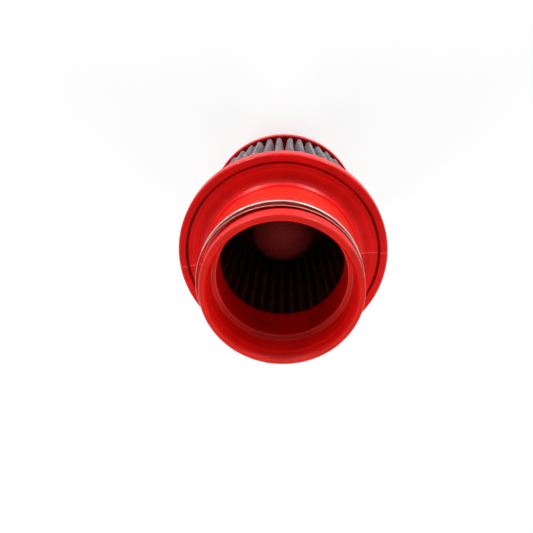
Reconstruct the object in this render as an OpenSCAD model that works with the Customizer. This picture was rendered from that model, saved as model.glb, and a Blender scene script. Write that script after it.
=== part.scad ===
// Clamp-on cone air filter for a car engine intake.
// It stands on its cap with the neck up: the origin is at the centre of the
// cap's outer face and +Z runs up the axis to the mouth of the neck.

/* [Overall] */
// Height from the cap's outer face to the mouth of the neck
overall_h = 148; // [140:1:190]

/* [Neck] */
// Diameter of the socket that takes the intake pipe
socket_d = 76; // [60:1:102]
// Thickness of the neck's wall round the socket
socket_wall = 5; // [4:0.5:7]
// Width of the rounded lead-in at the mouth
lead_in_w = 1.8; // [1:0.1:2.5]
// Height of the rounded lead-in from the mouth to the plain socket
lead_in_h = 6.5; // [5:0.5:9]
// Depth of the socket from the mouth to the ledge that stops the pipe
socket_depth = 17; // [15:0.5:20]
// Width of the sloping ledge, by which the throat is narrower than the socket
ledge_w = 2.3; // [1.5:0.1:3]
// Height of the sloping ledge
ledge_h = 1.2; // [0.8:0.1:2]
// Radius of the rounding at each end of the ledge
ledge_edge_r = 0.5; // [0.2:0.1:0.8]
// Height of the sharp lower edge of the throat above the flange's face
throat_rise = 6.5; // [5.5:0.25:8]
// Radius of the lip's outer edge at the mouth
lip_edge_r = 1.1; // [0.5:0.1:1.5]
// Height of the plain lip in front of the clamp's seat
lip_h = 8.6; // [6:0.2:10]
// Width of the shallow seat that the clamp lies in
seat_w = 11.6; // [10:0.2:13]
// Depth of the clamp's seat below the neck's outside
seat_depth = 0.4; // [0.2:0.1:1]
// Distance from the clamp's seat to the low moulded rib behind it
rib_gap = 4.6; // [3:0.2:6]
// Width of the low rib
rib_w = 5.4; // [3:0.2:7]
// Height of the low rib above the neck's outside
rib_rise = 0.35; // [0.2:0.05:0.6]
// Radius of the fillet from the neck into the flange
neck_fillet_r = 5; // [3:0.5:6]

/* [Flange] */
// Outside diameter of the flange
flange_d = 122; // [118:1:132]
// Distance from the mouth of the neck to the flange's face
flange_depth = 48.5; // [46:0.5:56]
// Height that the rim stands above the flange's face
rim_rise = 1; // [0.5:0.1:2]
// Height of the rim's side
rim_h = 8.5; // [7:0.5:12]
// Radius of the rim's edges
rim_edge_r = 1.4; // [0.6:0.1:2]
// Width of the rim from the groove to its side
rim_w = 4.3; // [3:0.1:6]
// Width of the groove
groove_w = 1.5; // [1:0.1:2]
// Depth of the groove below the flange's face
groove_depth = 2; // [1:0.1:3]
// Thickness of the wall between the bell below the throat and the pleats' channel
bell_wall = 1.7; // [1:0.1:2.5]

/* [Pleated element] */
// Number of pleats around the element
pleats = 44; // [36:1:48]
// Distance from the flange's side in to the pleat tips
base_inset = 4; // [3:0.1:6]
// Distance from the cap's side in to the pleat tips
cap_inset = 1.6; // [1:0.1:3]
// Depth of a pleat from its outer tip to its inner tip
pleat_depth = 12; // [11:0.2:12.4]
// Width of a pleat over its outer tip
outer_fold_w = 3.3; // [3:0.1:3.6]
// Width of a pleat over its inner tip
inner_fold_w = 3; // [2.6:0.1:3.2]
// Thickness of the layered cotton gauze
gauze_t = 0.9; // [0.6:0.05:1]
// Thickness of each wire mesh
mesh_t = 0.25; // [0.15:0.01:0.3]
// Clearance between the gauze and each mesh
layer_gap = 0.04; // [0.02:0.01:0.06]
// Direction of the first pleat tip, in degrees
first_tip = 3; // [0:0.5:8]
// Largest turn by which a hand-set pleat tip is off its even place, in degrees
tip_wander = 0.6; // [0:0.1:0.8]

/* [Seats of the element] */
// Depth of the channel in the flange and in the cap that the pleat ends sit in
channel_depth = 1.5; // [1:0.1:2.5]
// Clearance between the pleat tips and the channel's walls
channel_side_gap = 0.3; // [0.2:0.05:0.5]
// Thickness of the sealing film between the pleat ends and the channel's floor
seal_gap = 0.1; // [0.05:0.05:0.3]

/* [Cap] */
// Outside diameter of the cap
cap_d = 102.4; // [101:0.2:108]
// Thickness of the cap at its rim
cap_h = 11.2; // [9:0.2:14]
// Radius of the cap's outer corner, on which the side ends
cap_corner_r = 8; // [4:0.5:8]
// Radius of the cap's edge beside the pleats
cap_edge_r = 0.6; // [0.3:0.1:1]
// Diameter of the dome that reaches up inside the element
dome_d = 42.6; // [36:0.2:44]
// Height of the dome's centre above the cap's outer face
dome_centre_h = 55; // [45:1:62]
// Widening of the dome's stem from the dome's centre to the cap, in degrees
stem_draft = 0.8; // [0.5:0.1:1.5]
// Wall thickness of the hollow dome
dome_wall = 4; // [3:0.2:5]
// Radius where the stem runs into the cap
stem_fillet_r = 3; // [1:0.5:4]
// Radius of the edge where the hollow opens in the cap's outer face
hollow_edge_r = 2; // [1:0.5:3]

/* [Hose clamp] */
// Distance from the lip's shoulder to the band
band_back_gap = 1.2; // [0.3:0.1:3]
// Distance by which the loosened band can slip off the neck's axis
band_slack = 1.05; // [0.4:0.05:1.8]
// Width of the band
band_w = 8; // [7.6:0.1:8.4]
// Thickness of the band
band_t = 0.5; // [0.4:0.05:0.7]
// Height of the band's turned-up edges above its inner face
band_edge_h = 1.2; // [0.9:0.1:1.2]
// Width of each turned-up edge
band_edge_w = 0.5; // [0.4:0.05:0.8]
// Direction in which the loose band has slipped off the axis, in degrees
slip_turn = 16; // [-40:1:40]
// Clearance left where the slipped band lies against its seat
slip_gap = 0.1; // [0.05:0.05:0.3]
// Angle over which the slotted tail lies on the band, in degrees
tail_angle = 46; // [30:1:60]
// Distance from the slotted tail to each turned-up edge of the band
tail_side_gap = 0.3; // [0.2:0.05:0.5]
// Width of a thread slot in the tail
slot_w = 0.8; // [0.6:0.1:1]
// Width of metal left at each end of a thread slot
slot_margin = 0.8; // [0.6:0.1:1.2]
// Distance from one thread slot to the next, which is the worm's pitch
slot_pitch = 1.6; // [1.4:0.1:2.4]
// Slant of the thread slots, in degrees
slot_slant = 6; // [0:1:10]

/* [Clamp screw] */
// Diameter over the worm thread
worm_d = 4.6; // [4.4:0.1:6.2]
// Length of the worm
worm_len = 7.2; // [6.8:0.2:10]
// Diameter of the neck behind the head
screw_neck_d = 2.8; // [2.4:0.1:4]
// Diameter of the pilot at the worm's far end
pilot_d = 1.8; // [1.4:0.1:2.4]
// Length of the pilot
pilot_len = 1.4; // [1.2:0.1:2]
// Diameter of the washer collar under the head
collar_d = 5.6; // [5:0.1:7.3]
// Thickness of the washer collar
collar_h = 0.6; // [0.5:0.1:1]
// Width of the hexagon head across its flats
hex_af = 5; // [5:0.5:7]
// Height of the hexagon head
hex_h = 3; // [2.6:0.1:4]
// Width of the slot across the head
driver_w = 0.8; // [0.8:0.1:1.2]
// Depth of the slot across the head
driver_depth = 1.3; // [1:0.1:2]
// Clearance between the worm and its tunnel, and between the head and the tail
screw_gap = 0.2; // [0.2:0.05:0.4]
// Running clearance of the screw's neck and pilot in the end walls
journal_gap = 0.1; // [0.05:0.05:0.15]
// Clearance at each end of the worm and under the collar
end_gap = 0.2; // [0.15:0.05:0.3]

/* [Clamp housing] */
// Thickness of the housing's sheet metal
sheet_t = 0.5; // [0.4:0.05:0.7]
// Thickness of the housing's end walls
end_wall_t = 0.8; // [0.7:0.1:1]
// Clearance between the housing and the band that runs through it
band_gap = 0.05; // [0.05:0.05:0.1]

/* [Hidden] */
$fn = 96;

// Overshoot that keeps a cut clear of the face that it opens
cut = 1;
// Overlap that joins two cuts which would otherwise only touch
join = 0.01;

// Heights of the main faces above the cap's outer face
mouth_z = overall_h;
face_z = mouth_z - flange_depth;
rim_top_z = face_z + rim_rise;
rear_z = rim_top_z - rim_h;
pack_top_z = rear_z + channel_depth - seal_gap;
pack_foot_z = cap_h - channel_depth + seal_gap;
socket_r = socket_d / 2;
neck_r = socket_r + socket_wall;
throat_end_z = face_z + throat_rise;
throat_r = socket_r - ledge_w;
flange_r = flange_d / 2;
groove_r = flange_r - rim_w - groove_w;

// Diameters over the pleat tips at the flange's end and at the cap's end
pack_base_d = flange_d - 2 * base_inset;
pack_cap_d = cap_d - 2 * cap_inset;

// The bell widens by as much as it is high
bell_r = pack_base_d / 2 - pleat_depth - channel_side_gap - bell_wall;
bell_z = throat_end_z - abs(bell_r - throat_r);

// Clamp: the band's centre is off the axis by its slack in the seat
band_z = mouth_z - lip_h - band_back_gap - band_w / 2;
band_r = neck_r - seat_depth + slip_gap + band_slack;
tail_w = band_w - 2 * (band_edge_w + tail_side_gap);
slot_len = tail_w - 2 * slot_margin;
tail_r = band_r + band_t;
tail_top_r = tail_r + band_t;
// Depth to which the fused tail lies in the band
tail_sink = band_t / 4;
// Turn by which the tail starts under the housing, in degrees
tail_tuck = 1;
// Height above the band's inner face of whichever stands higher, edge or tail
strip_h = max(band_edge_h, 2 * band_t);
head_x = worm_len / 2 + end_gap + end_wall_t + end_gap;
hex_r = hex_af / 2 / cos(30);
// The head and its collar clear the tail where they start, and the worm clears its top
screw_y = screw_gap + max(tail_top_r + worm_d / 2, max(hex_r, collar_d / 2)
    + sqrt(pow(tail_top_r, 2) - pow(head_x + collar_h, 2)));
house_len = worm_len + 2 * (end_gap + end_wall_t);
house_w = band_w + 2 * (band_gap + sheet_t);
tunnel_r = worm_d / 2 + screw_gap;

// Rounded concave corner of radius r between a wall at r = 0 and a face at z = 0
module inside_round(r) {
    difference() {
        translate([-cut / 2, -cut / 2]) square(r + cut / 2);
        translate([r, r]) circle(r);
    }
}

// What a rounding of radius r takes off a convex corner that points to +r and +z
module corner_waste(r) {
    difference() {
        translate([-r, -r]) square(r + cut);
        translate([-r, -r]) circle(r);
    }
}

module neck_section() {
    seat_top = mouth_z - lip_h;
    difference() {
        translate([0, rear_z]) square([neck_r, mouth_z - rear_z]);
        // Clamp's seat
        translate([neck_r - seat_depth, seat_top - seat_w]) square([seat_depth + cut, seat_w]);
        // Rounded outer edge of the lip
        translate([neck_r, mouth_z]) corner_waste(lip_edge_r);
    }
}

// Low rib between the seat and the flange
module rib_section() {
    rib_top = mouth_z - lip_h - seat_w - rib_gap;
    translate([neck_r - cut, rib_top - rib_w]) polygon([
        [0, 0], [cut, 0], [cut + rib_rise, rib_rise], [cut + rib_rise, rib_w - rib_rise],
        [cut, rib_w], [0, rib_w]]);
}

// Bore of the neck: rounded lead-in, plain socket and sloping ledge
module socket_section() {
    lead_r = (pow(lead_in_h, 2) + pow(lead_in_w, 2)) / (2 * lead_in_w);
    lead_z = mouth_z - lead_in_h;
    ledge_z = mouth_z - socket_depth;
    difference() {
        polygon([[0, ledge_z - ledge_h], [throat_r, ledge_z - ledge_h], [socket_r, ledge_z],
                 [socket_r, mouth_z + cut], [0, mouth_z + cut]]);
        translate([socket_r, ledge_z]) rotate([0, 0, 180]) ledge_corner();
    }
    translate([throat_r, ledge_z - ledge_h]) ledge_corner();
    difference() {
        translate([socket_r - cut, lead_z]) square([lead_in_w + 2 * cut, lead_in_h + cut]);
        translate([socket_r + lead_r, lead_z]) circle(lead_r, $fn = 192);
    }
}

// What a rounding takes off the ledge's edge at the throat. Turned half round, it is
// what a fillet fills in the corner at the ledge's other end.
module ledge_corner() {
    slope = atan2(ledge_h, ledge_w);
    reach = ledge_edge_r * tan((90 - slope) / 2);
    difference() {
        polygon([[-cut, -reach], [ledge_edge_r, -reach],
                 [reach * cos(slope), reach * sin(slope)], [-cut, reach * sin(slope)]]);
        translate([ledge_edge_r, -reach]) circle(ledge_edge_r);
    }
}

// Bore from the mouth to the element: socket, throat, and the bell that opens from the throat
module bore_section() {
    floor_z = min(rear_z, bell_z) - cut;
    polygon([[0, mouth_z], [throat_r, mouth_z], [throat_r, throat_end_z],
             [bell_r, bell_z], [bell_r, floor_z], [0, floor_z]]);
    socket_section();
}

module flange_section() {
    difference() {
        union() {
            translate([0, rear_z]) square([flange_r, face_z - rear_z]);
            // Rim that stands above the face
            translate([groove_r + groove_w, rear_z])
                square([flange_r - groove_r - groove_w, rim_top_z - rear_z]);
        }
        translate([groove_r, face_z - groove_depth]) square([groove_w, groove_depth + cut]);
        // Rounded edges of the rim
        translate([flange_r, rim_top_z]) corner_waste(rim_edge_r);
        translate([flange_r, rear_z]) mirror([0, 1]) corner_waste(rim_edge_r);
    }
}

// Cut for the channel that takes the pleat ends
module channel_section(tip_d, z, h) {
    r_out = tip_d / 2 + channel_side_gap;
    r_in = tip_d / 2 - pleat_depth - channel_side_gap;
    translate([r_in, z]) square([r_out - r_in, h]);
}

module base_moulding() {
    color([0.80, 0.08, 0.08]) rotate_extrude($fn = 180) {
        difference() {
            union() {
                neck_section();
                flange_section();
            }
            bore_section();
            // Channel for the pleat ends
            channel_section(pack_base_d, rear_z - cut, channel_depth + cut);
        }
        rib_section();
        // Fillet at the neck's foot
        translate([neck_r, face_z]) inside_round(neck_fillet_r);
    }
}

module top_cap() {
    cap_r = cap_d / 2;
    dome_r = dome_d / 2;
    stem_r = dome_r + dome_centre_h * tan(stem_draft);
    hollow_r = stem_r - dome_wall;
    color([0.75, 0.07, 0.07]) rotate_extrude($fn = 180) difference() {
        union() {
            square([cap_r, cap_h]);
            dome_section(dome_r, stem_r);
            translate([stem_r - cap_h * tan(stem_draft), cap_h])
                inside_round(stem_fillet_r);
        }
        translate([0, -cut]) square([hollow_r, cut + join]);
        dome_section(dome_r - dome_wall, hollow_r);
        translate([cap_r, cap_h]) corner_waste(cap_edge_r);
        translate([cap_r, 0]) mirror([0, 1]) corner_waste(cap_corner_r);
        translate([hollow_r, 0]) mirror([1, 1]) corner_waste(hollow_edge_r);
        channel_section(pack_cap_d, cap_h - channel_depth, channel_depth + cut);
    }
}

// Half outline of a domed stem that stands on the cap's outer face
module dome_section(top_r, foot_r) {
    polygon([[0, 0], [foot_r, 0], [top_r, dome_centre_h], [0, dome_centre_h]]);
    translate([0, dome_centre_h]) intersection() {
        circle(top_r);
        square(top_r + cut);
    }
}

// Pleated sheet. Each pleat is an arc over its outer tip, an arc round its inner
// tip, and straight flanks that touch both arcs. A layer lies between two offsets
// from the clean side of the sheet, and both of its ends are flat.
outer_steps = 4;
inner_steps = 3;
sheet = gauze_t + 2 * (mesh_t + layer_gap);

function polar(r, a) = [r * cos(a), r * sin(a)];
function heading(v) = atan2(v[1], v[0]);
function unwrap(a, near) = a + 360 * round((near - a) / 360);

// Places of the folds' centres at one end, where the tips lie on diameter d
function even_turn(k) = first_tip + k * 360 / pleats;
function tip_turn(k) = even_turn(k) + tip_wander * sin(k * 137.5) * cos(k * 61);
function outer_centre(k, d) = polar(d / 2 - outer_fold_w / 2, tip_turn(k));
function inner_centre(k, d) =
    polar(d / 2 - pleat_depth + inner_fold_w / 2, even_turn(k + 0.5));

// Heading of the flank's outward normal, from outer fold a to inner fold b.
// side is +1 for the flank on the pleat's leading side and -1 for the other one.
function flank_normal(a, b, side) = let (
    reach = norm(b - a),
    lean = asin((outer_fold_w / 2 + inner_fold_w / 2 - sheet) / reach)
) heading(b - a) - side * (90 - lean);

// Points of pleat k at offset t from the clean side of the sheet
function pleat_points(k, d, t) = let (
    tip = outer_centre(k, d),
    root = inner_centre(k, d),
    turn = tip_turn(k),
    n_back = unwrap(flank_normal(tip, inner_centre(k - 1, d), -1), turn),
    n_lead = unwrap(flank_normal(tip, root, 1), turn),
    n_next = unwrap(flank_normal(outer_centre(k + 1, d), root, -1), turn),
    r_tip = outer_fold_w / 2 - sheet + t,
    r_root = inner_fold_w / 2 - t
) concat(
    [for (i = [0 : outer_steps]) tip + polar(r_tip, n_back + (n_lead - n_back) * i / outer_steps)],
    [for (i = [0 : inner_steps]) root - polar(r_root, n_lead + (n_next - n_lead) * i / inner_steps)]
);

function ring_points(d, z, t) = [
    for (k = [0 : pleats - 1]) for (p = pleat_points(k, d, t)) [p[0], p[1], z]];

module pleated_layer(t_in, t_out) {
    n = pleats * (outer_steps + inner_steps + 2);
    points = concat(
        ring_points(pack_cap_d, pack_foot_z, t_in), ring_points(pack_cap_d, pack_foot_z, t_out),
        ring_points(pack_base_d, pack_top_z, t_in), ring_points(pack_base_d, pack_top_z, t_out));
    // Triangles between ring a and ring b, split from a's point to b's next one
    function strip(a, b) = [for (i = [0 : n - 1]) let (j = (i + 1) % n)
        each [[a * n + i, b * n + i, b * n + j], [a * n + i, b * n + j, a * n + j]]];
    // The same split the other way, so that facing sides of two layers stay parallel
    function strip_back(a, b) = [for (i = [0 : n - 1]) let (j = (i + 1) % n)
        each [[a * n + i, b * n + i, a * n + j], [b * n + i, b * n + j, a * n + j]]];
    polyhedron(points, concat(strip(1, 3), strip(3, 2), strip_back(2, 0), strip(0, 1)));
}

module outer_wire_mesh() {
    color([0.60, 0.56, 0.60]) pleated_layer(sheet - mesh_t, sheet);
}

module cotton_gauze() {
    color([0.45, 0.18, 0.22]) pleated_layer(mesh_t + layer_gap, mesh_t + layer_gap + gauze_t);
}

module inner_wire_mesh() {
    color([0.55, 0.52, 0.55]) pleated_layer(0, mesh_t);
}

// Puts a piece of the clamp round the slipped band's centre
module on_neck() {
    translate([band_slack * cos(slip_turn), band_slack * sin(slip_turn), band_z]) children();
}

module clamp_band() {
    slots = floor((tail_top_r * PI * tail_angle / 180 - slot_len) / slot_pitch);
    tail_start = 90 + asin(house_len / 2 / tail_r) - tail_tuck;
    color([0.78, 0.77, 0.76]) on_neck() {
        rotate_extrude($fn = 180) band_section();
        difference() {
            rotate([0, 0, tail_start - tail_angle]) rotate_extrude(angle = tail_angle, $fn = 180)
                translate([tail_r - tail_sink, -tail_w / 2])
                    square([band_t + tail_sink, tail_w]);
            for (i = [1 : slots])
                rotate([0, 0, tail_start - i * slot_pitch / tail_top_r * 180 / PI])
                    translate([tail_r + band_t / 2 + join, 0, 0]) rotate([slot_slant, 0, 0])
                        cube([band_t, slot_w, slot_len], center = true);
        }
    }
}

// Band with both edges turned up
module band_section() {
    for (side = [-1, 1])
        translate([band_r, side * (band_w - band_edge_w) / 2 - band_edge_w / 2])
            square([band_edge_h, band_edge_w]);
    translate([band_r, -band_w / 2]) square([band_t, band_w]);
}

// Puts a piece on the screw's axis, which runs along +X outwards through the head
module on_screw() {
    on_neck() translate([0, screw_y, 0]) rotate([0, 90, 0]) children();
}

module clamp_housing() {
    foot_r = band_r - band_gap - sheet_t;
    top_r = band_r + strip_h + band_gap + sheet_t;
    color([0.74, 0.73, 0.72]) difference() {
        union() {
            on_neck() intersection() {
                rotate_extrude($fn = 180) translate([foot_r, -house_w / 2])
                    square([top_r - foot_r, house_w]);
                translate([-house_len / 2, 0, -house_w])
                    cube([house_len, 2 * band_r, 2 * house_w]);
            }
            on_screw() cylinder(r = tunnel_r + sheet_t, h = house_len, center = true);
            on_neck() translate([-house_len / 2, tail_r, -tunnel_r - sheet_t])
                cube([house_len, screw_y - tail_r, 2 * (tunnel_r + sheet_t)]);
        }
        // Way for the band and its tail
        on_neck() rotate_extrude($fn = 180)
            translate([band_r - band_gap, -band_w / 2 - band_gap])
                square([strip_h + 2 * band_gap, band_w + 2 * band_gap]);
        // Tunnel for the worm, open towards the tail
        on_screw() cylinder(r = tunnel_r, h = worm_len + 2 * end_gap, center = true);
        on_neck() translate([-worm_len / 2 - end_gap, tail_r, -tunnel_r])
            cube([worm_len + 2 * end_gap, screw_y - tail_r, 2 * tunnel_r]);
        // Holes for the screw's neck and pilot
        on_screw() cylinder(d = screw_neck_d + 2 * journal_gap, h = house_len);
        on_screw() mirror([0, 0, 1]) cylinder(d = pilot_d + 2 * journal_gap, h = house_len);
    }
}

module clamp_screw() {
    color([0.70, 0.70, 0.70]) on_screw() {
        cylinder(d = worm_d, h = worm_len, center = true);
        translate([0, 0, -worm_len / 2 - pilot_len]) cylinder(d = pilot_d, h = pilot_len + cut);
        cylinder(d = screw_neck_d, h = head_x + collar_h);
        translate([0, 0, head_x]) cylinder(d = collar_d, h = collar_h);
        difference() {
            translate([0, 0, head_x + collar_h]) cylinder(r = hex_r, h = hex_h, $fn = 6);
            translate([0, 0, head_x + collar_h + hex_h]) cube([driver_w, 2 * hex_af, 2 * driver_depth],
                center = true);
        }
    }
}

base_moulding();
top_cap();
outer_wire_mesh();
cotton_gauze();
inner_wire_mesh();
clamp_band();
clamp_housing();
clamp_screw();
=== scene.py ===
import math

import bmesh
import bpy
import numpy as np
from mathutils import Euler, Matrix, Vector


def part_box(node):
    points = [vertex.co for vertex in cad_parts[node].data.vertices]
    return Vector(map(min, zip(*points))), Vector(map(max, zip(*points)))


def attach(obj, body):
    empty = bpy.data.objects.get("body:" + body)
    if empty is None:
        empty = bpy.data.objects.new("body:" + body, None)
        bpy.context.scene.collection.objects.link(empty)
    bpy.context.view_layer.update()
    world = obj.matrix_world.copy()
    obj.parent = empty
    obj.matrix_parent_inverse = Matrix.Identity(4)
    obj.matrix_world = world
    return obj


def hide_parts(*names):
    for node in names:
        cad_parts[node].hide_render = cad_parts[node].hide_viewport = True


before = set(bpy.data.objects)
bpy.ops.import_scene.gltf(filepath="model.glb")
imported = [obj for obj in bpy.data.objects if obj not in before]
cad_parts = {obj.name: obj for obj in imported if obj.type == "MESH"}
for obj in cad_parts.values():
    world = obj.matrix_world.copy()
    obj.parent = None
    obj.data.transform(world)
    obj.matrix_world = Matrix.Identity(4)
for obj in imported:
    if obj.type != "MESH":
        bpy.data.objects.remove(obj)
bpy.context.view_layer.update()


# Base moulding: one casting of red polyurethane with the neck, its lip, the clamp's seat, the
# flange, its groove and its rim. The upper ends of the pleats are cast into its underside. Its lip,
# its neck and the two edges of its ledge are painted paler as painted highlights.
def linear(code):
    """Linear RGBA of an sRGB colour written as six hex digits."""
    parts = [int(code[i : i + 2], 16) / 255 for i in (0, 2, 4)]
    return (*(c / 12.92 if c <= 0.04045 else ((c + 0.055) / 1.055) ** 2.4 for c in parts), 1.0)


def add(tree, kind, inputs=None, **settings):
    """Adds a node with its settings and its inputs. An input is found by its name, or by its
    number where several share a name, and it gets a value, a hex colour, or a link from a socket
    or from the first output that a node has in use."""
    node = tree.nodes.new(kind)
    for name, value in settings.items():
        setattr(node, name, value)
    for name, value in (inputs or {}).items():
        socket = next(s for i, s in enumerate(node.inputs) if s.enabled and name in (i, s.name))
        if isinstance(value, bpy.types.Node):
            value = next(s for s in value.outputs if s.enabled)
        if isinstance(value, bpy.types.NodeSocket):
            tree.links.new(value, socket)
        else:
            socket.default_value = linear(value) if isinstance(value, str) else value
    return node


def new_material(name):
    """An empty node material, its tree, and the object's own coordinates in millimetres."""
    material = bpy.data.materials.new(name)
    material.use_nodes = True
    tree = material.node_tree
    tree.nodes.clear()
    place = add(tree, "ShaderNodeTexCoord")
    mm = add(
        tree,
        "ShaderNodeVectorMath",
        {"Vector": place.outputs["Object"], "Scale": 1000.0},
        operation="SCALE",
    )
    return material, tree, mm


def round_axis(tree, mm):
    """The distance from the filter's axis, the turn about it in radians, and the height."""
    x, y, height = add(tree, "ShaderNodeSeparateXYZ", {"Vector": mm}).outputs
    flat = add(tree, "ShaderNodeCombineXYZ", {"X": x, "Y": y})
    radius = add(tree, "ShaderNodeVectorMath", {"Vector": flat}, operation="LENGTH")
    turn = add(tree, "ShaderNodeMath", {0: y, 1: x}, operation="ARCTAN2")
    return radius, turn, height


def cast_polyurethane(name, light, dark, flash_turns=(), painted_highlights=(), dust_from=None):
    """Cast polyurethane: a satin, slightly soft elastomer. The eye sees the turned rings of its
    mould, faint flow mottling, scuffed specks, pale flash lines where the mould's halves met, and
    dust where it faces up inside the element. Painted highlights go on given edges and heights.
    Sizes are in millimetres and turns in degrees."""
    material, tree, mm = new_material(name)
    radius, turn, height = round_axis(tree, mm)

    # Flow mottling about 17 mm across, between the two reds.
    cloud = add(
        tree,
        "ShaderNodeTexNoise",
        {"Vector": mm, "Scale": 0.06, "Detail": 4.0, "Roughness": 0.55},
    )
    mottle = add(
        tree,
        "ShaderNodeMapRange",
        {"Value": cloud, "From Min": 0.35, "From Max": 0.65},
        interpolation_type="SMOOTHSTEP",
    )
    colour = add(
        tree, "ShaderNodeMix", {"Factor": mottle, "A": dark, "B": light}, data_type="RGBA"
    )
    layers = []

    # Rubbed specks about 0.7 mm across.
    speck = add(
        tree,
        "ShaderNodeTexNoise",
        {"Vector": mm, "Scale": 1.4, "Detail": 3.0, "Roughness": 0.6},
    )
    specks = add(
        tree,
        "ShaderNodeMapRange",
        {"Value": speck, "From Min": 0.62, "From Max": 0.8, "To Max": 0.25},
        interpolation_type="SMOOTHSTEP",
    )
    layers.append((specks, "D8322A"))

    # Rings of the turned mould. The real ones are a few tenths of a millimetre apart. They are
    # drawn about 2 mm apart, and more up the neck, as coarse as they need to be to show.
    drawn_out = add(tree, "ShaderNodeMath", {0: height, 1: 0.4}, operation="MULTIPLY")
    ring_place = add(tree, "ShaderNodeCombineXYZ", {"X": radius, "Y": drawn_out})
    ring = add(
        tree,
        "ShaderNodeTexNoise",
        {"Vector": ring_place, "Scale": 0.55, "Detail": 3.0, "Roughness": 0.7},
    )
    rings = add(
        tree,
        "ShaderNodeMapRange",
        {"Value": ring, "From Min": 0.48, "From Max": 0.62, "To Max": 0.6},
        interpolation_type="SMOOTHSTEP",
    )
    layers.append((rings, "E2140E"))
    relief = add(tree, "ShaderNodeMath", {0: ring, 1: 3.0, 2: speck}, operation="MULTIPLY_ADD")

    # Painted highlights between two heights: a pale line on an edge of the given radius, or without
    # one the whole outside of the casting.
    for low, high, edge_radius, share in painted_highlights:
        if edge_radius:
            off = add(
                tree, "ShaderNodeMath", {0: radius, 1: edge_radius}, operation="SUBTRACT"
            )
            away = add(tree, "ShaderNodeMath", {0: off}, operation="ABSOLUTE")
            span = {
                "Value": away, "From Min": 0.15, "From Max": 0.4, "To Min": share, "To Max": 0.0
            }
        else:
            span = {"Value": radius, "From Min": 39.0, "From Max": 39.5, "To Max": share}
        across = add(tree, "ShaderNodeMapRange", span, interpolation_type="SMOOTHSTEP")
        above = add(
            tree,
            "ShaderNodeMapRange",
            {"Value": height, "From Min": low, "From Max": low + 0.3},
            interpolation_type="SMOOTHSTEP",
        )
        below = add(
            tree,
            "ShaderNodeMapRange",
            {
                "Value": height, "From Min": high, "From Max": high + 0.3,
                "To Min": 1.0, "To Max": 0.0,
            },
            interpolation_type="SMOOTHSTEP",
        )
        level = add(tree, "ShaderNodeMath", {0: above, 1: below}, operation="MULTIPLY")
        highlight_share = add(tree, "ShaderNodeMath", {0: level, 1: across}, operation="MULTIPLY")
        layers.append((highlight_share, "E84E38"))

    # Flash lines half a millimetre wide, which stand up a little, on the flange and below it.
    for at in flash_turns:
        off = add(tree, "ShaderNodeMath", {0: turn, 1: math.radians(at)}, operation="SUBTRACT")
        arc = add(tree, "ShaderNodeMath", {0: off, 1: radius}, operation="MULTIPLY")
        away = add(tree, "ShaderNodeMath", {0: arc}, operation="ABSOLUTE")
        line = add(
            tree,
            "ShaderNodeMapRange",
            {"Value": away, "From Min": 0.12, "From Max": 0.4, "To Min": 0.7, "To Max": 0.0},
            interpolation_type="SMOOTHSTEP",
        )
        on_flange = add(
            tree,
            "ShaderNodeMapRange",
            {"Value": height, "From Min": 102.5, "From Max": 101.0},
            interpolation_type="SMOOTHSTEP",
        )
        flash = add(tree, "ShaderNodeMath", {0: line, 1: on_flange}, operation="MULTIPLY")
        relief = add(
            tree, "ShaderNodeMath", {0: flash, 1: 2.5, 2: relief}, operation="MULTIPLY_ADD"
        )
        layers.append((flash, "DC5048"))

    # Dust in grains about 0.4 mm across, which thickens over the 14 mm above a height.
    if dust_from is not None:
        grain = add(
            tree,
            "ShaderNodeTexNoise",
            {"Vector": mm, "Scale": 2.4, "Detail": 4.0, "Roughness": 0.7},
        )
        grit = add(
            tree,
            "ShaderNodeMapRange",
            {"Value": grain, "From Min": 0.35, "From Max": 0.65, "To Min": 0.3},
            interpolation_type="SMOOTHSTEP",
        )
        lying = add(
            tree,
            "ShaderNodeMapRange",
            {"Value": height, "From Min": dust_from, "From Max": dust_from + 14.0},
            interpolation_type="SMOOTHSTEP",
        )
        dust = add(tree, "ShaderNodeMath", {0: grit, 1: lying}, operation="MULTIPLY")
        layers.append((dust, "C4A49F"))

    for share, paint in layers:
        colour = add(
            tree, "ShaderNodeMix", {"Factor": share, "A": colour, "B": paint}, data_type="RGBA"
        )
    rough = add(
        tree,
        "ShaderNodeMapRange",
        {"Value": speck, "From Min": 0.3, "From Max": 0.7, "To Min": 0.27, "To Max": 0.35},
        interpolation_type="SMOOTHSTEP",
    )
    shader = add(
        tree,
        "ShaderNodeBsdfPrincipled",
        {
            "Base Color": colour,
            "Roughness": rough,
            "Normal": add(
                tree, "ShaderNodeBump", {"Height": relief, "Strength": 0.5, "Distance": 0.0002}
            ),
            "Tangent": add(tree, "ShaderNodeTangent", direction_type="RADIAL", axis="Z"),
            "Anisotropic": 0.6,
            "Anisotropic Rotation": 0.25,
            "IOR": 1.49,
            "Specular IOR Level": 0.3,
            "Subsurface Weight": 0.06,
            "Subsurface Radius": (1.0, 0.15, 0.1),
            "Subsurface Scale": 0.001,
        },
    )
    add(tree, "ShaderNodeOutputMaterial", {"Surface": shader})
    return material


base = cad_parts["base_moulding"]
base.material_slots[0].material = cast_polyurethane(
    "red cast polyurethane, base",
    "CC0C0A",
    "B80908",
    flash_turns=(7.0, -178.0),
    # Painted highlights, as paler lines and bands: on the lip, on the ledge's two edges and on the
    # neck.
    painted_highlights=(
        (147.5, 148.5, None, 0.13),  # the lip
        (128.8, 130.3, 35.9, 0.4),  # the ledge's inner edge
        (130.4, 131.4, 37.9, 0.4),  # the ledge's outer edge
        (104.0, 134.0, None, 0.22),  # the neck, up to the clamp
    ),
)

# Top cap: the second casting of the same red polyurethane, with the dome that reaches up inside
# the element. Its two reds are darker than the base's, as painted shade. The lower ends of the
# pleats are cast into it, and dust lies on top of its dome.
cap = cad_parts["top_cap"]
cap.material_slots[0].material = cast_polyurethane(
    "red cast polyurethane, cap, painted shade", "C20B09", "A80807", dust_from=54.0
)

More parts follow.
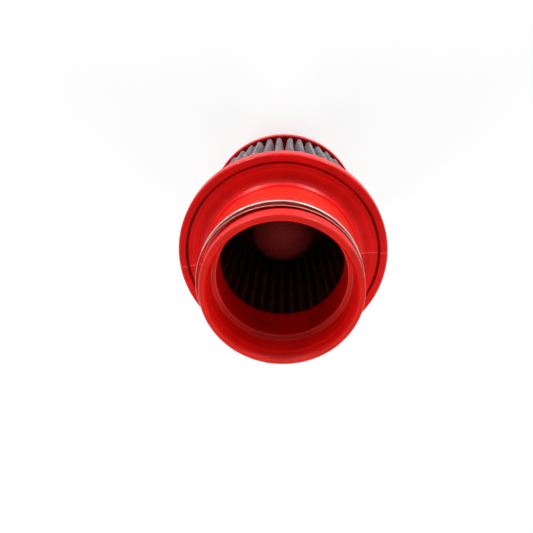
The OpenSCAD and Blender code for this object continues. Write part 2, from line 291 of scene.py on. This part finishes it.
# Outer wire mesh: a woven cloth of fine steel wire with a grey epoxy coat. It is folded over the
# outside of the pleats, whose shape it holds, and its ends are cast into the two mouldings. It
# replaces the CAD's thin skin wire by wire. Sizes are in millimetres and turns in degrees.
PLEATS = 44
SHEET = 1.48  # thickness of the gauze and both meshes
OUTER_FOLD, INNER_FOLD = 3.3, 3.0  # outside diameters of the folds at the tips and the roots
PLEAT_DEPTH = 12.0
FOOT_TIPS_D, TOP_TIPS_D = 99.2, 114.0
FIRST_TIP = 3.0
UNEVEN = 0.6  # the most that a tip leans out of its even place
FOOT_Z, TOP_Z = (corner[2] * 1000 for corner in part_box("outer_wire_mesh"))
WIRE_SPACING, WIRE_RADIUS = 2.0, 0.12  # as coarse as the weave needs to be to show


def polar(r, degrees):
    """Points of the plane at a distance from its middle and at some turns."""
    a = np.radians(degrees)
    return np.stack([r * np.cos(a), r * np.sin(a)], -1)


def flank_normal(tip, root, side, near):
    """Turn of the normal to the flank from a tip to a root, within half a turn of near."""
    run = root - tip
    lean = np.degrees(np.arcsin((OUTER_FOLD / 2 + INNER_FOLD / 2 - SHEET) / np.hypot(*run)))
    turn = np.degrees(np.arctan2(run[1], run[0])) - side * (90 - lean)
    return turn + 360 * np.round((near - turn) / 360)


def pleat_outline(z, offset):
    """Points round the pleated sheet at a height, at an offset from its clean side, in metres."""
    tips_d = FOOT_TIPS_D + (TOP_TIPS_D - FOOT_TIPS_D) * (z - FOOT_Z) / (TOP_Z - FOOT_Z)
    k = np.arange(-1, PLEATS + 2)
    lean = UNEVEN * np.sin(np.radians(k * 137.5)) * np.cos(np.radians(k * 61))
    tip_turn = FIRST_TIP + k * 360 / PLEATS + lean
    root_turn = FIRST_TIP + (k + 0.5) * 360 / PLEATS
    tips = polar(tips_d / 2 - OUTER_FOLD / 2, tip_turn)
    roots = polar(tips_d / 2 - PLEAT_DEPTH + INNER_FOLD / 2, root_turn)
    points = []
    for i in range(1, PLEATS + 1):
        near = tip_turn[i]
        back = flank_normal(tips[i], roots[i - 1], -1, near)
        lead = flank_normal(tips[i], roots[i], 1, near)
        following = flank_normal(tips[i + 1], roots[i], -1, near)
        tip_arc = polar(OUTER_FOLD / 2 - SHEET + offset, np.linspace(back, lead, 5))
        root_arc = polar(INNER_FOLD / 2 - offset, np.linspace(lead, following, 4))
        points.extend(tips[i] + tip_arc)
        points.extend(roots[i] - root_arc)
    flat = np.array(points)
    return np.column_stack([flat, np.full(len(flat), z)]) / 1000


def wire_tubes(name, material):
    """Node group that turns loose edges into wires, with their radius and sides as inputs."""
    group = bpy.data.node_groups.new(name, "GeometryNodeTree")
    for label, kind in (("Wires", "Geometry"), ("Wire radius", "Float"), ("Sides", "Int")):
        group.interface.new_socket(label, in_out="INPUT", socket_type="NodeSocket" + kind)
    group.interface.new_socket("Mesh", in_out="OUTPUT", socket_type="NodeSocketGeometry")
    entry = add(group, "NodeGroupInput").outputs
    path = add(group, "GeometryNodeMeshToCurve", {"Mesh": entry["Wires"]})
    profile = add(
        group,
        "GeometryNodeCurvePrimitiveCircle",
        {"Resolution": entry["Sides"], "Radius": entry["Wire radius"]},
    )
    tube = add(group, "GeometryNodeCurveToMesh", {"Curve": path, "Profile Curve": profile})
    smooth = add(group, "GeometryNodeSetShadeSmooth", {0: tube})
    plain = add(group, "GeometryNodeRealizeInstances", {"Geometry": smooth})
    coated = add(group, "GeometryNodeSetMaterial", {"Geometry": plain, "Material": material})
    add(group, "NodeGroupOutput", {"Mesh": coated})
    return group


def new_object(name, verts, edges, faces):
    """An object in the scene with a mesh of these points."""
    mesh = bpy.data.meshes.new(name)
    mesh.from_pydata([tuple(v) for v in verts], edges, faces)
    obj = bpy.data.objects.new(name, mesh)
    bpy.context.scene.collection.objects.link(obj)
    return obj


def settle(obj):
    """Makes what an object's modifiers give its plain mesh, and removes them."""
    bpy.context.view_layer.update()
    evaluated = obj.evaluated_get(bpy.context.evaluated_depsgraph_get())
    mesh = bpy.data.meshes.new_from_object(evaluated)
    obj.modifiers.clear()
    obj.data = mesh


def grow(obj, group, inputs):
    """Runs a node group on an object, with the group's inputs given by name."""
    modifier = obj.modifiers.new("nodes", "NODES")
    modifier.node_group = group
    for item in group.interface.items_tree:
        if item.name in inputs:
            modifier[item.identifier] = inputs[item.name]
    settle(obj)


def wire_cloth(name, offset, material):
    """Woven wire on the pleated sheet: rings that follow the pleats and straight wires up them."""
    verts, edges = [], []
    rows = int((TOP_Z - FOOT_Z) / WIRE_SPACING)
    for z in np.linspace(FOOT_Z + WIRE_SPACING / 2, TOP_Z - WIRE_SPACING / 2, rows):
        ring = pleat_outline(z, offset + WIRE_RADIUS / 2)
        start, count = len(verts), len(ring)
        verts.extend(ring)
        edges.extend((start + i, start + (i + 1) % count) for i in range(count))
    foot = pleat_outline(FOOT_Z + 0.1, offset - WIRE_RADIUS / 2)
    top = pleat_outline(TOP_Z - 0.1, offset - WIRE_RADIUS / 2)
    steps = np.linalg.norm(np.roll(top, -1, 0) - top, axis=1)
    length = np.concatenate([[0], np.cumsum(steps)])
    wires = int(length[-1] * 1000 / WIRE_SPACING)
    stations = np.linspace(0, length[-1], wires, endpoint=False)
    which = np.searchsorted(length, stations, side="right") - 1
    share = ((stations - length[which]) / steps[which])[:, None]
    ends = (
        line[which] * (1 - share) + np.roll(line, -1, 0)[which] * share for line in (foot, top)
    )
    for low, high in zip(*ends):
        edges.append((len(verts), len(verts) + 1))
        verts.extend([low, high])
    cloth = new_object(name, verts, edges, [])
    sizes = {"Wire radius": WIRE_RADIUS / 1000, "Sides": 4}
    grow(cloth, wire_tubes(name + " tubes", material), sizes)
    return cloth


def coated_wire(name, light, dark):
    """Epoxy-coated steel wire: half matt, with changes of tone every 2 mm or so along it and a
    grain of 0.2 mm in the coat, which gives it a soft glint."""
    material, tree, mm = new_material(name)
    tone = add(
        tree,
        "ShaderNodeTexNoise",
        {"Vector": mm, "Scale": 0.5, "Detail": 3.0, "Roughness": 0.5},
    )
    fine = add(
        tree,
        "ShaderNodeTexNoise",
        {"Vector": mm, "Scale": 6.0, "Detail": 2.0, "Roughness": 0.5},
    )
    share = add(
        tree,
        "ShaderNodeMapRange",
        {"Value": tone, "From Min": 0.35, "From Max": 0.65},
        interpolation_type="SMOOTHSTEP",
    )
    rough = add(
        tree,
        "ShaderNodeMapRange",
        {"Value": fine, "From Min": 0.3, "From Max": 0.7, "To Min": 0.38, "To Max": 0.52},
        interpolation_type="SMOOTHSTEP",
    )
    shader = add(
        tree,
        "ShaderNodeBsdfPrincipled",
        {
            "Base Color": add(
                tree, "ShaderNodeMix", {"Factor": share, "A": dark, "B": light}, data_type="RGBA"
            ),
            "Metallic": 0.35,
            "Roughness": rough,
            "Normal": add(
                tree, "ShaderNodeBump", {"Height": fine, "Strength": 0.2, "Distance": 0.00003}
            ),
        },
    )
    add(tree, "ShaderNodeOutputMaterial", {"Surface": shader})
    return material


outer_coat = coated_wire("grey coated wire, outside", "B4ABB0", "8D8489")
outer_wires = wire_cloth("outer_wires", 1.36, outer_coat)
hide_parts("outer_wire_mesh")
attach(outer_wires, "filter")

# Inner wire mesh: the same woven cloth of coated steel wire on the clean side of the pleats, seen
# dimly inside the neck. Its colours are darker and redder than the outer mesh's, as painted shade
# and painted red light from the casting. Its ends are cast into the two mouldings.
shaded_inner_coat = coated_wire("grey coated wire, painted shade and red light", "8E6F72", "6B5054")
inner_wires = wire_cloth("inner_wires", 0.12, shaded_inner_coat)
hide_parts("inner_wire_mesh")
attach(inner_wires, "filter")

# Cotton gauze: several layers of loosely woven cotton, pleated between the two meshes and darkened
# by filter oil, which stains it in patches of 8 mm or so. Its threads are drawn 0.7 mm apart, with
# a fluff of 0.5 mm over them, and its ends are cast into the two mouldings.
GAUZE_THREADS = 0.7
gauze, tree, mm = new_material("oiled cotton gauze")
radius, _, height = round_axis(tree, mm)
threads = []
for run in (height, radius):
    across = add(
        tree, "ShaderNodeMath", {0: run, 1: 2 * math.pi / GAUZE_THREADS}, operation="MULTIPLY"
    )
    threads.append(add(tree, "ShaderNodeMath", {0: across}, operation="SINE"))
weave = add(tree, "ShaderNodeMath", {0: threads[0], 1: threads[1]}, operation="ADD")
fluff = add(
    tree, "ShaderNodeTexNoise", {"Vector": mm, "Scale": 2.2, "Detail": 4.0, "Roughness": 0.65}
)
relief = add(tree, "ShaderNodeMath", {0: weave, 1: 0.35, 2: fluff}, operation="MULTIPLY_ADD")
stain = add(
    tree, "ShaderNodeTexNoise", {"Vector": mm, "Scale": 0.12, "Detail": 4.0, "Roughness": 0.6}
)
share = add(
    tree,
    "ShaderNodeMapRange",
    {"Value": stain, "From Min": 0.3, "From Max": 0.7},
    interpolation_type="SMOOTHSTEP",
)
shader = add(
    tree,
    "ShaderNodeBsdfPrincipled",
    {
        "Base Color": add(
            tree,
            "ShaderNodeMix",
            {"Factor": share, "A": "443A41", "B": "5E525A"},
            data_type="RGBA",
        ),
        "Roughness": 0.85,
        "Normal": add(
            tree, "ShaderNodeBump", {"Height": relief, "Strength": 0.7, "Distance": 0.00025}
        ),
        "Sheen Weight": 0.15,
        "Sheen Roughness": 0.5,
    },
)
add(tree, "ShaderNodeOutputMaterial", {"Surface": shader})
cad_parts["cotton_gauze"].material_slots[0].material = gauze

# Clamp band: the hose clamp's strip of rolled stainless steel, bent round the neck, on which it
# hangs loose. Both edges are rolled up into small round beads that catch the light as two thin
# lines, and are painted paler as painted highlights. Its steel is tinted pink-brown as a painted
# reflection of the red neck. Sizes are in millimetres.
BAND_AT = np.array([1.009, 0.289, 134.2])  # its middle, slipped off the neck's axis
BAND_R = 43.75  # inside of the strip
BAND_HALF, BEAD_R = 4.0, 0.16  # half of its width, and the beads' radius


def bright_steel(name, light, dark, low_rough, high_rough, rolled_edges=None):
    """Rolled or plated bright steel: streaks 0.1 mm wide and some 20 mm long run round the clamp,
    and smears of 7 mm change its tone. A strip's rolled edges are duller, and painted paler as a
    painted highlight: they are given as the height of its middle, how far off they start, and how
    much roughness they add."""
    material, tree, mm = new_material(name)
    radius, turn, height = round_axis(tree, mm)
    along = add(tree, "ShaderNodeMath", {0: turn, 1: 2.0}, operation="MULTIPLY")
    place = add(tree, "ShaderNodeCombineXYZ", {"X": along, "Y": height, "Z": radius})
    stretched = add(
        tree, "ShaderNodeVectorMath", {0: place, 1: (1.0, 9.0, 9.0)}, operation="MULTIPLY"
    )
    streak = add(
        tree,
        "ShaderNodeTexNoise",
        {"Vector": stretched, "Scale": 1.0, "Detail": 3.0, "Roughness": 0.6},
    )
    rough = add(
        tree,
        "ShaderNodeMapRange",
        {
            "Value": streak, "From Min": 0.3, "From Max": 0.7,
            "To Min": low_rough, "To Max": high_rough,
        },
        interpolation_type="SMOOTHSTEP",
    )
    smear = add(
        tree,
        "ShaderNodeTexNoise",
        {"Vector": mm, "Scale": 0.15, "Detail": 3.0, "Roughness": 0.5},
    )
    share = add(
        tree,
        "ShaderNodeMapRange",
        {"Value": smear, "From Min": 0.35, "From Max": 0.65},
        interpolation_type="SMOOTHSTEP",
    )
    colour = add(
        tree, "ShaderNodeMix", {"Factor": share, "A": dark, "B": light}, data_type="RGBA"
    )
    if rolled_edges:
        middle, start, edge_rough = rolled_edges
        rise = add(tree, "ShaderNodeMath", {0: height, 1: middle}, operation="SUBTRACT")
        away = add(tree, "ShaderNodeMath", {0: rise}, operation="ABSOLUTE")
        edge = add(
            tree,
            "ShaderNodeMapRange",
            {"Value": away, "From Min": start, "From Max": start + 0.2},
            interpolation_type="SMOOTHSTEP",
        )
        rough = add(
            tree, "ShaderNodeMath", {0: edge, 1: edge_rough, 2: rough}, operation="MULTIPLY_ADD"
        )
        # Painted highlight: the rolled edges are mixed towards pale steel.
        colour = add(
            tree, "ShaderNodeMix", {"Factor": edge, "A": colour, "B": "D4C8C0"}, data_type="RGBA"
        )
    shader = add(
        tree,
        "ShaderNodeBsdfPrincipled",
        {
            "Base Color": colour,
            "Metallic": 1.0,
            "Roughness": rough,
            "Normal": add(
                tree, "ShaderNodeBump", {"Height": streak, "Strength": 0.15, "Distance": 0.00004}
            ),
            "Anisotropic": 0.4,
        },
    )
    add(tree, "ShaderNodeOutputMaterial", {"Surface": shader})
    return material


def closed_rings(name, rings, ends="join"):
    """Closed mesh from equal rings of points in millimetres. The last ring joins the first, or
    each end gets a cap."""
    count, around = len(rings), len(rings[0])
    faces = []
    for i in range(count if ends == "join" else count - 1):
        j = (i + 1) % count
        for k in range(around):
            m = (k + 1) % around
            faces.append((i * around + k, j * around + k, j * around + m, i * around + m))
    if ends == "cap":
        faces.append(tuple(range(around - 1, -1, -1)))
        faces.append(tuple((count - 1) * around + k for k in range(around)))
    obj = new_object(name, np.concatenate(rings) / 1000, [], faces)
    shape = bmesh.new()
    shape.from_mesh(obj.data)
    bmesh.ops.recalc_face_normals(shape, faces=shape.faces)
    shape.to_mesh(obj.data)
    shape.free()
    return obj


def smooth_to(obj, degrees):
    """Shades smooth, with edges sharper than an angle kept sharp."""
    obj.data.shade_smooth()
    obj.data.set_sharp_from_angle(angle=math.radians(degrees))


def across_band(section, a):
    """A section of the strip at a turn in radians: its points are given as the distance out from
    the strip's inside and the distance up from its middle."""
    return BAND_AT + np.array(
        [((BAND_R + out) * math.cos(a), (BAND_R + out) * math.sin(a), up) for out, up in section]
    )


# Half of the section, from the inside of the strip over the bead at its edge to its outer face.
half_section = [(0.0, 3.3), (0.1, 3.62), (0.42, 3.9)]
half_section += [
    (0.72 + BEAD_R * math.sin(a), BAND_HALF - BEAD_R + BEAD_R * math.cos(a))
    for a in np.radians(np.arange(-30, 151, 30))
]
half_section += [(0.6, 3.56), (0.52, 3.3), (0.5, 3.0)]
section = half_section + [(out, -up) for out, up in half_section[::-1]]
rings = [across_band(section, a) for a in np.radians(np.arange(0, 360, 1.5))]
band = closed_rings("rolled_band", rings)
smooth_to(band, 50)
# The strip's pink-brown tint is a painted reflection of the red neck, and its paler edges are
# painted highlights.
strip_steel_painted_light = bright_steel(
    "rolled stainless strip",
    "B4A4A0",
    "98837F",
    low_rough=0.12,
    high_rough=0.2,
    rolled_edges=(BAND_AT[2], 3.45, 0.38),
)
band.data.materials.append(strip_steel_painted_light)
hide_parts("clamp_band")
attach(band, "filter")

# Slotted tail: the band's free end, which runs over itself under the worm. Its slanted slots are
# punched through the strip for the worm's thread, and its end is a rounded tongue.
TAIL_START, TAIL_SWEEP = 94.97, 46.0  # degrees: its end under the housing, and its length
TAIL_HALF = 3.2  # half of its width, and the radius of its tongue
SLOTS, THREAD_PITCH = 19, 1.6
SLOT_SIZE, SLOT_LEAN = (0.5, 0.8, 4.8), 6.0  # through the strip, along it and across it


def punch_row(name, material):
    """Node group: a row of equal punches along an arc, each leaning by one angle."""
    group = bpy.data.node_groups.new(name, "GeometryNodeTree")
    labels = ("Count", "Arc radius", "First turn", "Step", "Lean", "Size")
    for label, kind in zip(labels, ("Int", "Float", "Float", "Float", "Float", "Vector")):
        group.interface.new_socket(label, in_out="INPUT", socket_type="NodeSocket" + kind)
    group.interface.new_socket("Mesh", in_out="OUTPUT", socket_type="NodeSocketGeometry")
    entry = add(group, "NodeGroupInput").outputs
    turn = add(
        group,
        "ShaderNodeMath",
        {0: add(group, "GeometryNodeInputIndex"), 1: entry["Step"], 2: entry["First turn"]},
        operation="MULTIPLY_ADD",
    )
    x = add(group, "ShaderNodeMath", {0: turn}, operation="COSINE")
    y = add(group, "ShaderNodeMath", {0: turn}, operation="SINE")
    way = add(group, "ShaderNodeCombineXYZ", {"X": x, "Y": y})
    spot = add(
        group,
        "ShaderNodeVectorMath",
        {"Vector": way, "Scale": entry["Arc radius"]},
        operation="SCALE",
    )
    points = add(group, "GeometryNodePoints", {"Count": entry["Count"], "Position": spot})
    punch = add(group, "GeometryNodeMeshCube", {"Size": entry["Size"]})
    facing = add(group, "ShaderNodeCombineXYZ", {"X": entry["Lean"], "Z": turn})
    row = add(
        group,
        "GeometryNodeInstanceOnPoints",
        {"Points": points, "Instance": punch, "Rotation": facing},
    )
    plain = add(group, "GeometryNodeRealizeInstances", {"Geometry": row})
    cut_face = add(group, "GeometryNodeSetMaterial", {"Geometry": plain, "Material": material})
    add(group, "NodeGroupOutput", {"Mesh": cut_face})
    return group


def cut_away(target, cutter):
    """Cuts the cutter's shape out of the target, and removes the cutter."""
    modifier = target.modifiers.new("cut", "BOOLEAN")
    modifier.object, modifier.operation, modifier.solver = cutter, "DIFFERENCE", "EXACT"
    settle(target)
    bpy.data.objects.remove(cutter)


rings = []
for off in np.linspace(0, TAIL_SWEEP, 93):
    a = math.radians(TAIL_START - TAIL_SWEEP + off)
    run = min(1.0, (off + 0.15) / TAIL_HALF)
    wide = TAIL_HALF * math.sqrt(1 - (1 - run) ** 2)
    half_section = [(0.44, wide), (0.5, wide), (0.94, wide), (0.99, wide - 0.06)]
    section = [(out, -up) for out, up in half_section] + half_section[::-1]
    rings.append(across_band(section, a))
tail = closed_rings("slotted_tail", rings, ends="cap")
tail.data.materials.append(strip_steel_painted_light)
slot_step = THREAD_PITCH / (BAND_R + 1.0)
punches = new_object("punches", [], [], [])
grow(
    punches,
    punch_row("slot punches", strip_steel_painted_light),
    {
        "Count": SLOTS,
        "Arc radius": (BAND_R + 0.8) / 1000,
        "First turn": math.radians(TAIL_START) - slot_step,
        "Step": -slot_step,
        "Lean": math.radians(SLOT_LEAN),
        "Size": [side / 1000 for side in SLOT_SIZE],
    },
)
punches.data.transform(Matrix.Translation(Vector(BAND_AT / 1000)))
cut_away(tail, punches)
smooth_to(tail, 35)
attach(tail, "filter")

# Clamp housing: a piece of pressed stainless sheet, folded round the strip and its tail, with a
# round tunnel over them that holds the worm. It has a duller, paler face than the strip.
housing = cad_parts["clamp_housing"]
housing.material_slots[0].material = bright_steel(
    "pressed stainless sheet", "D2CDC8", "B4AFAA", low_rough=0.24, high_rough=0.4
)

# Worm screw: turned from steel and zinc plated, with a square-cut thread, a plain neck, a washer
# collar and a slotted hexagon head with a chamfered crown. It lies along X on the filter's +Y
# side, and its neck and its pilot run in the housing's end walls. Sizes are in millimetres.
SCREW_AT = (BAND_AT[0], 47.799, BAND_AT[2])
CORE_R, THREAD_HEIGHT, THREAD_END = 1.7, 0.58, 3.6
HEX_FLAT, HEX_TOP = 2.5, 8.4  # half of its width over flats, and the crown's place on the axis

# The screw from its pilot to its crown: places along the axis, each with its radius.
stations = [(-5.0, 0.6), (-4.8, 0.9), (-3.62, 0.9), (-THREAD_END, CORE_R)]
stations += [(u, "thread") for u in np.arange(-3.55, 3.56, 0.1)]
stations += [(THREAD_END, CORE_R), (3.62, 1.4), (4.8, 1.4)]
stations += [(4.8, 2.7), (4.9, 2.8), (5.3, 2.8), (5.4, 2.7)]
stations += [(u, "hexagon") for u in (5.42, 5.8, 7.7, 7.95, 8.1, 8.25, HEX_TOP)]
rings = []
for u, r in stations:
    ring = []
    for a in np.radians(np.arange(0, 360, 3.75)):
        if r == "thread":
            wave = (u / THREAD_PITCH - a / (2 * math.pi)) % 1.0
            crest = min(1.0, max(0.0, 2.2 - abs(wave - 0.5) * 7))
            radius = CORE_R + THREAD_HEIGHT * crest * min(1.0, (THREAD_END - abs(u)) / 0.4)
        elif r == "hexagon":
            flat = HEX_FLAT / math.cos((a + math.pi / 6) % (math.pi / 3) - math.pi / 6)
            radius = min(flat, 2.35 + (HEX_TOP - u) * 0.9)
        else:
            radius = r
        ring.append((u, radius * math.cos(a), radius * math.sin(a)))
    rings.append(np.array(ring) + SCREW_AT)
screw = closed_rings("worm_screw", rings, ends="cap")
screw.data.materials.append(
    bright_steel("zinc plated steel", "CFCFD2", "AEB0B6", low_rough=0.22, high_rough=0.38)
)

# The slot in its head: a blade 0.8 mm thick cuts it 1.3 mm deep.
blade_face = np.array([(-3.5, -0.4), (3.5, -0.4), (3.5, 0.4), (-3.5, 0.4)])
blade_ends = [
    np.column_stack([np.full(4, HEX_TOP + x), blade_face]) + SCREW_AT for x in (-1.3, 1.0)
]
cut_away(screw, closed_rings("blade", blade_ends, ends="cap"))
smooth_to(screw, 30)
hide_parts("clamp_screw")
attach(screw, "screw")


# Floor: a sheet of plain white paper that the filter stands on, with a faint cloudy tone 50 mm
# across. It shows brighter to the camera than it lights the filter, as an overexposed table does.
def seen_straight(tree):
    """1 where the camera, a reflection or a clear material looks straight at the surface."""
    ray = add(tree, "ShaderNodeLightPath").outputs
    either = add(
        tree,
        "ShaderNodeMath",
        {0: ray["Is Camera Ray"], 1: ray["Is Glossy Ray"]},
        operation="MAXIMUM",
    )
    return add(
        tree, "ShaderNodeMath", {0: either, 1: ray["Is Transmission Ray"]}, operation="MAXIMUM"
    )


paper, tree, mm = new_material("white paper sweep")
cloud = add(
    tree, "ShaderNodeTexNoise", {"Vector": mm, "Scale": 0.02, "Detail": 2.0, "Roughness": 0.5}
)
white = add(
    tree, "ShaderNodeMix", {"Factor": cloud, "A": "F2F2F2", "B": "F6F6F6"}, data_type="RGBA"
)
matt = add(tree, "ShaderNodeBsdfDiffuse", {"Color": white})
bright = add(tree, "ShaderNodeEmission", {"Color": "FFFFFF", "Strength": 1.0})
seen = add(tree, "ShaderNodeMath", {0: seen_straight(tree), 1: 0.75}, operation="MULTIPLY")
shown = add(tree, "ShaderNodeMixShader", {0: seen, 1: matt, 2: bright})
add(tree, "ShaderNodeOutputMaterial", {"Surface": shown})
floor = new_object("floor", [(-4, -4, 0), (4, -4, 0), (4, 4, 0), (-4, 4, 0)], [], [(0, 1, 2, 3)])
floor.data.materials.append(paper)

# Room: pale studio walls and a darker ceiling, so that red faces that look up stay deep. What the
# camera and the gloss see of it is white, and it lights the filter at a fraction of that.
world = bpy.data.worlds.new("studio room")
bpy.context.scene.world = world
world.use_nodes = True
tree = world.node_tree
tree.nodes.clear()
way = add(tree, "ShaderNodeTexCoord").outputs["Generated"]
rise = add(tree, "ShaderNodeSeparateXYZ", {"Vector": way}).outputs["Z"]
walls = add(
    tree,
    "ShaderNodeMapRange",
    {"Value": rise, "From Min": 0.1, "From Max": 0.5, "To Min": 1.0, "To Max": 0.45},
    interpolation_type="SMOOTHSTEP",
)
ceiling = add(
    tree,
    "ShaderNodeMapRange",
    {"Value": rise, "From Min": 0.89, "From Max": 0.98, "To Min": 1.0, "To Max": 0.25},
    interpolation_type="SMOOTHSTEP",
)
around = add(tree, "ShaderNodeMath", {0: walls, 1: ceiling}, operation="MULTIPLY")
share = add(tree, "ShaderNodeMapRange", {"Value": seen_straight(tree), "To Min": 0.27})
level = add(tree, "ShaderNodeMath", {0: around, 1: share}, operation="MULTIPLY")
room = add(tree, "ShaderNodeBackground", {"Color": "FFFFFF", "Strength": level})
add(tree, "ShaderNodeOutputWorld", {"Surface": room})


# Soft boxes: six lamps round the filter at low angles. The two small ones towards the photograph's
# top draw the paired highlights on the neck, and the others only fill, with no mirror image.
def soft_box(name, place, size, watts, mirrored=True):
    """A rectangular lamp of this size in metres that faces the middle of the neck."""
    light = bpy.data.lights.new(name, "AREA")
    light.shape, light.size, light.size_y, light.energy = "RECTANGLE", size[0], size[1], watts
    lamp = bpy.data.objects.new(name, light)
    lamp.location = place
    lamp.rotation_euler = (Vector((0, 0, 0.12)) - Vector(place)).to_track_quat("-Z", "Y").to_euler()
    lamp.visible_camera, lamp.visible_glossy = False, mirrored
    bpy.context.scene.collection.objects.link(lamp)


soft_box("upper left box", (0.45, -0.779, 0.115), (0.12, 0.1), 3.6)
soft_box("upper right box", (-0.45, -0.779, 0.115), (0.12, 0.1), 4.0)
soft_box("upper fill", (0.0, -0.885, 0.29), (0.9, 0.3), 4.3, mirrored=False)
soft_box("left box", (0.675, 0.39, 0.57), (0.6, 0.5), 6.8, mirrored=False)
soft_box("right box", (-0.675, 0.39, 0.57), (0.6, 0.5), 6.5, mirrored=False)
soft_box("lower box", (0.0, 0.869, 0.353), (0.6, 0.3), 4.9, mirrored=False)

# Camera: stands above and behind the neck's top edge, and looks down into its mouth. Its place,
# lens and shift are fitted to the photograph's circles.
lens = bpy.data.cameras.new("camera")
lens.sensor_width, lens.lens = 36.0, 41.07
lens.shift_x, lens.shift_y = 0.0235, -0.061
camera = bpy.data.objects.new("camera", lens)
camera.location = (-0.0036, -0.14321, 0.4255)
camera.rotation_euler = Euler([math.radians(a) for a in (-21.75, 3.01, 178.8)])
bpy.context.scene.collection.objects.link(camera)
bpy.context.scene.camera = camera
bpy.context.scene.view_settings.view_transform = "Standard"
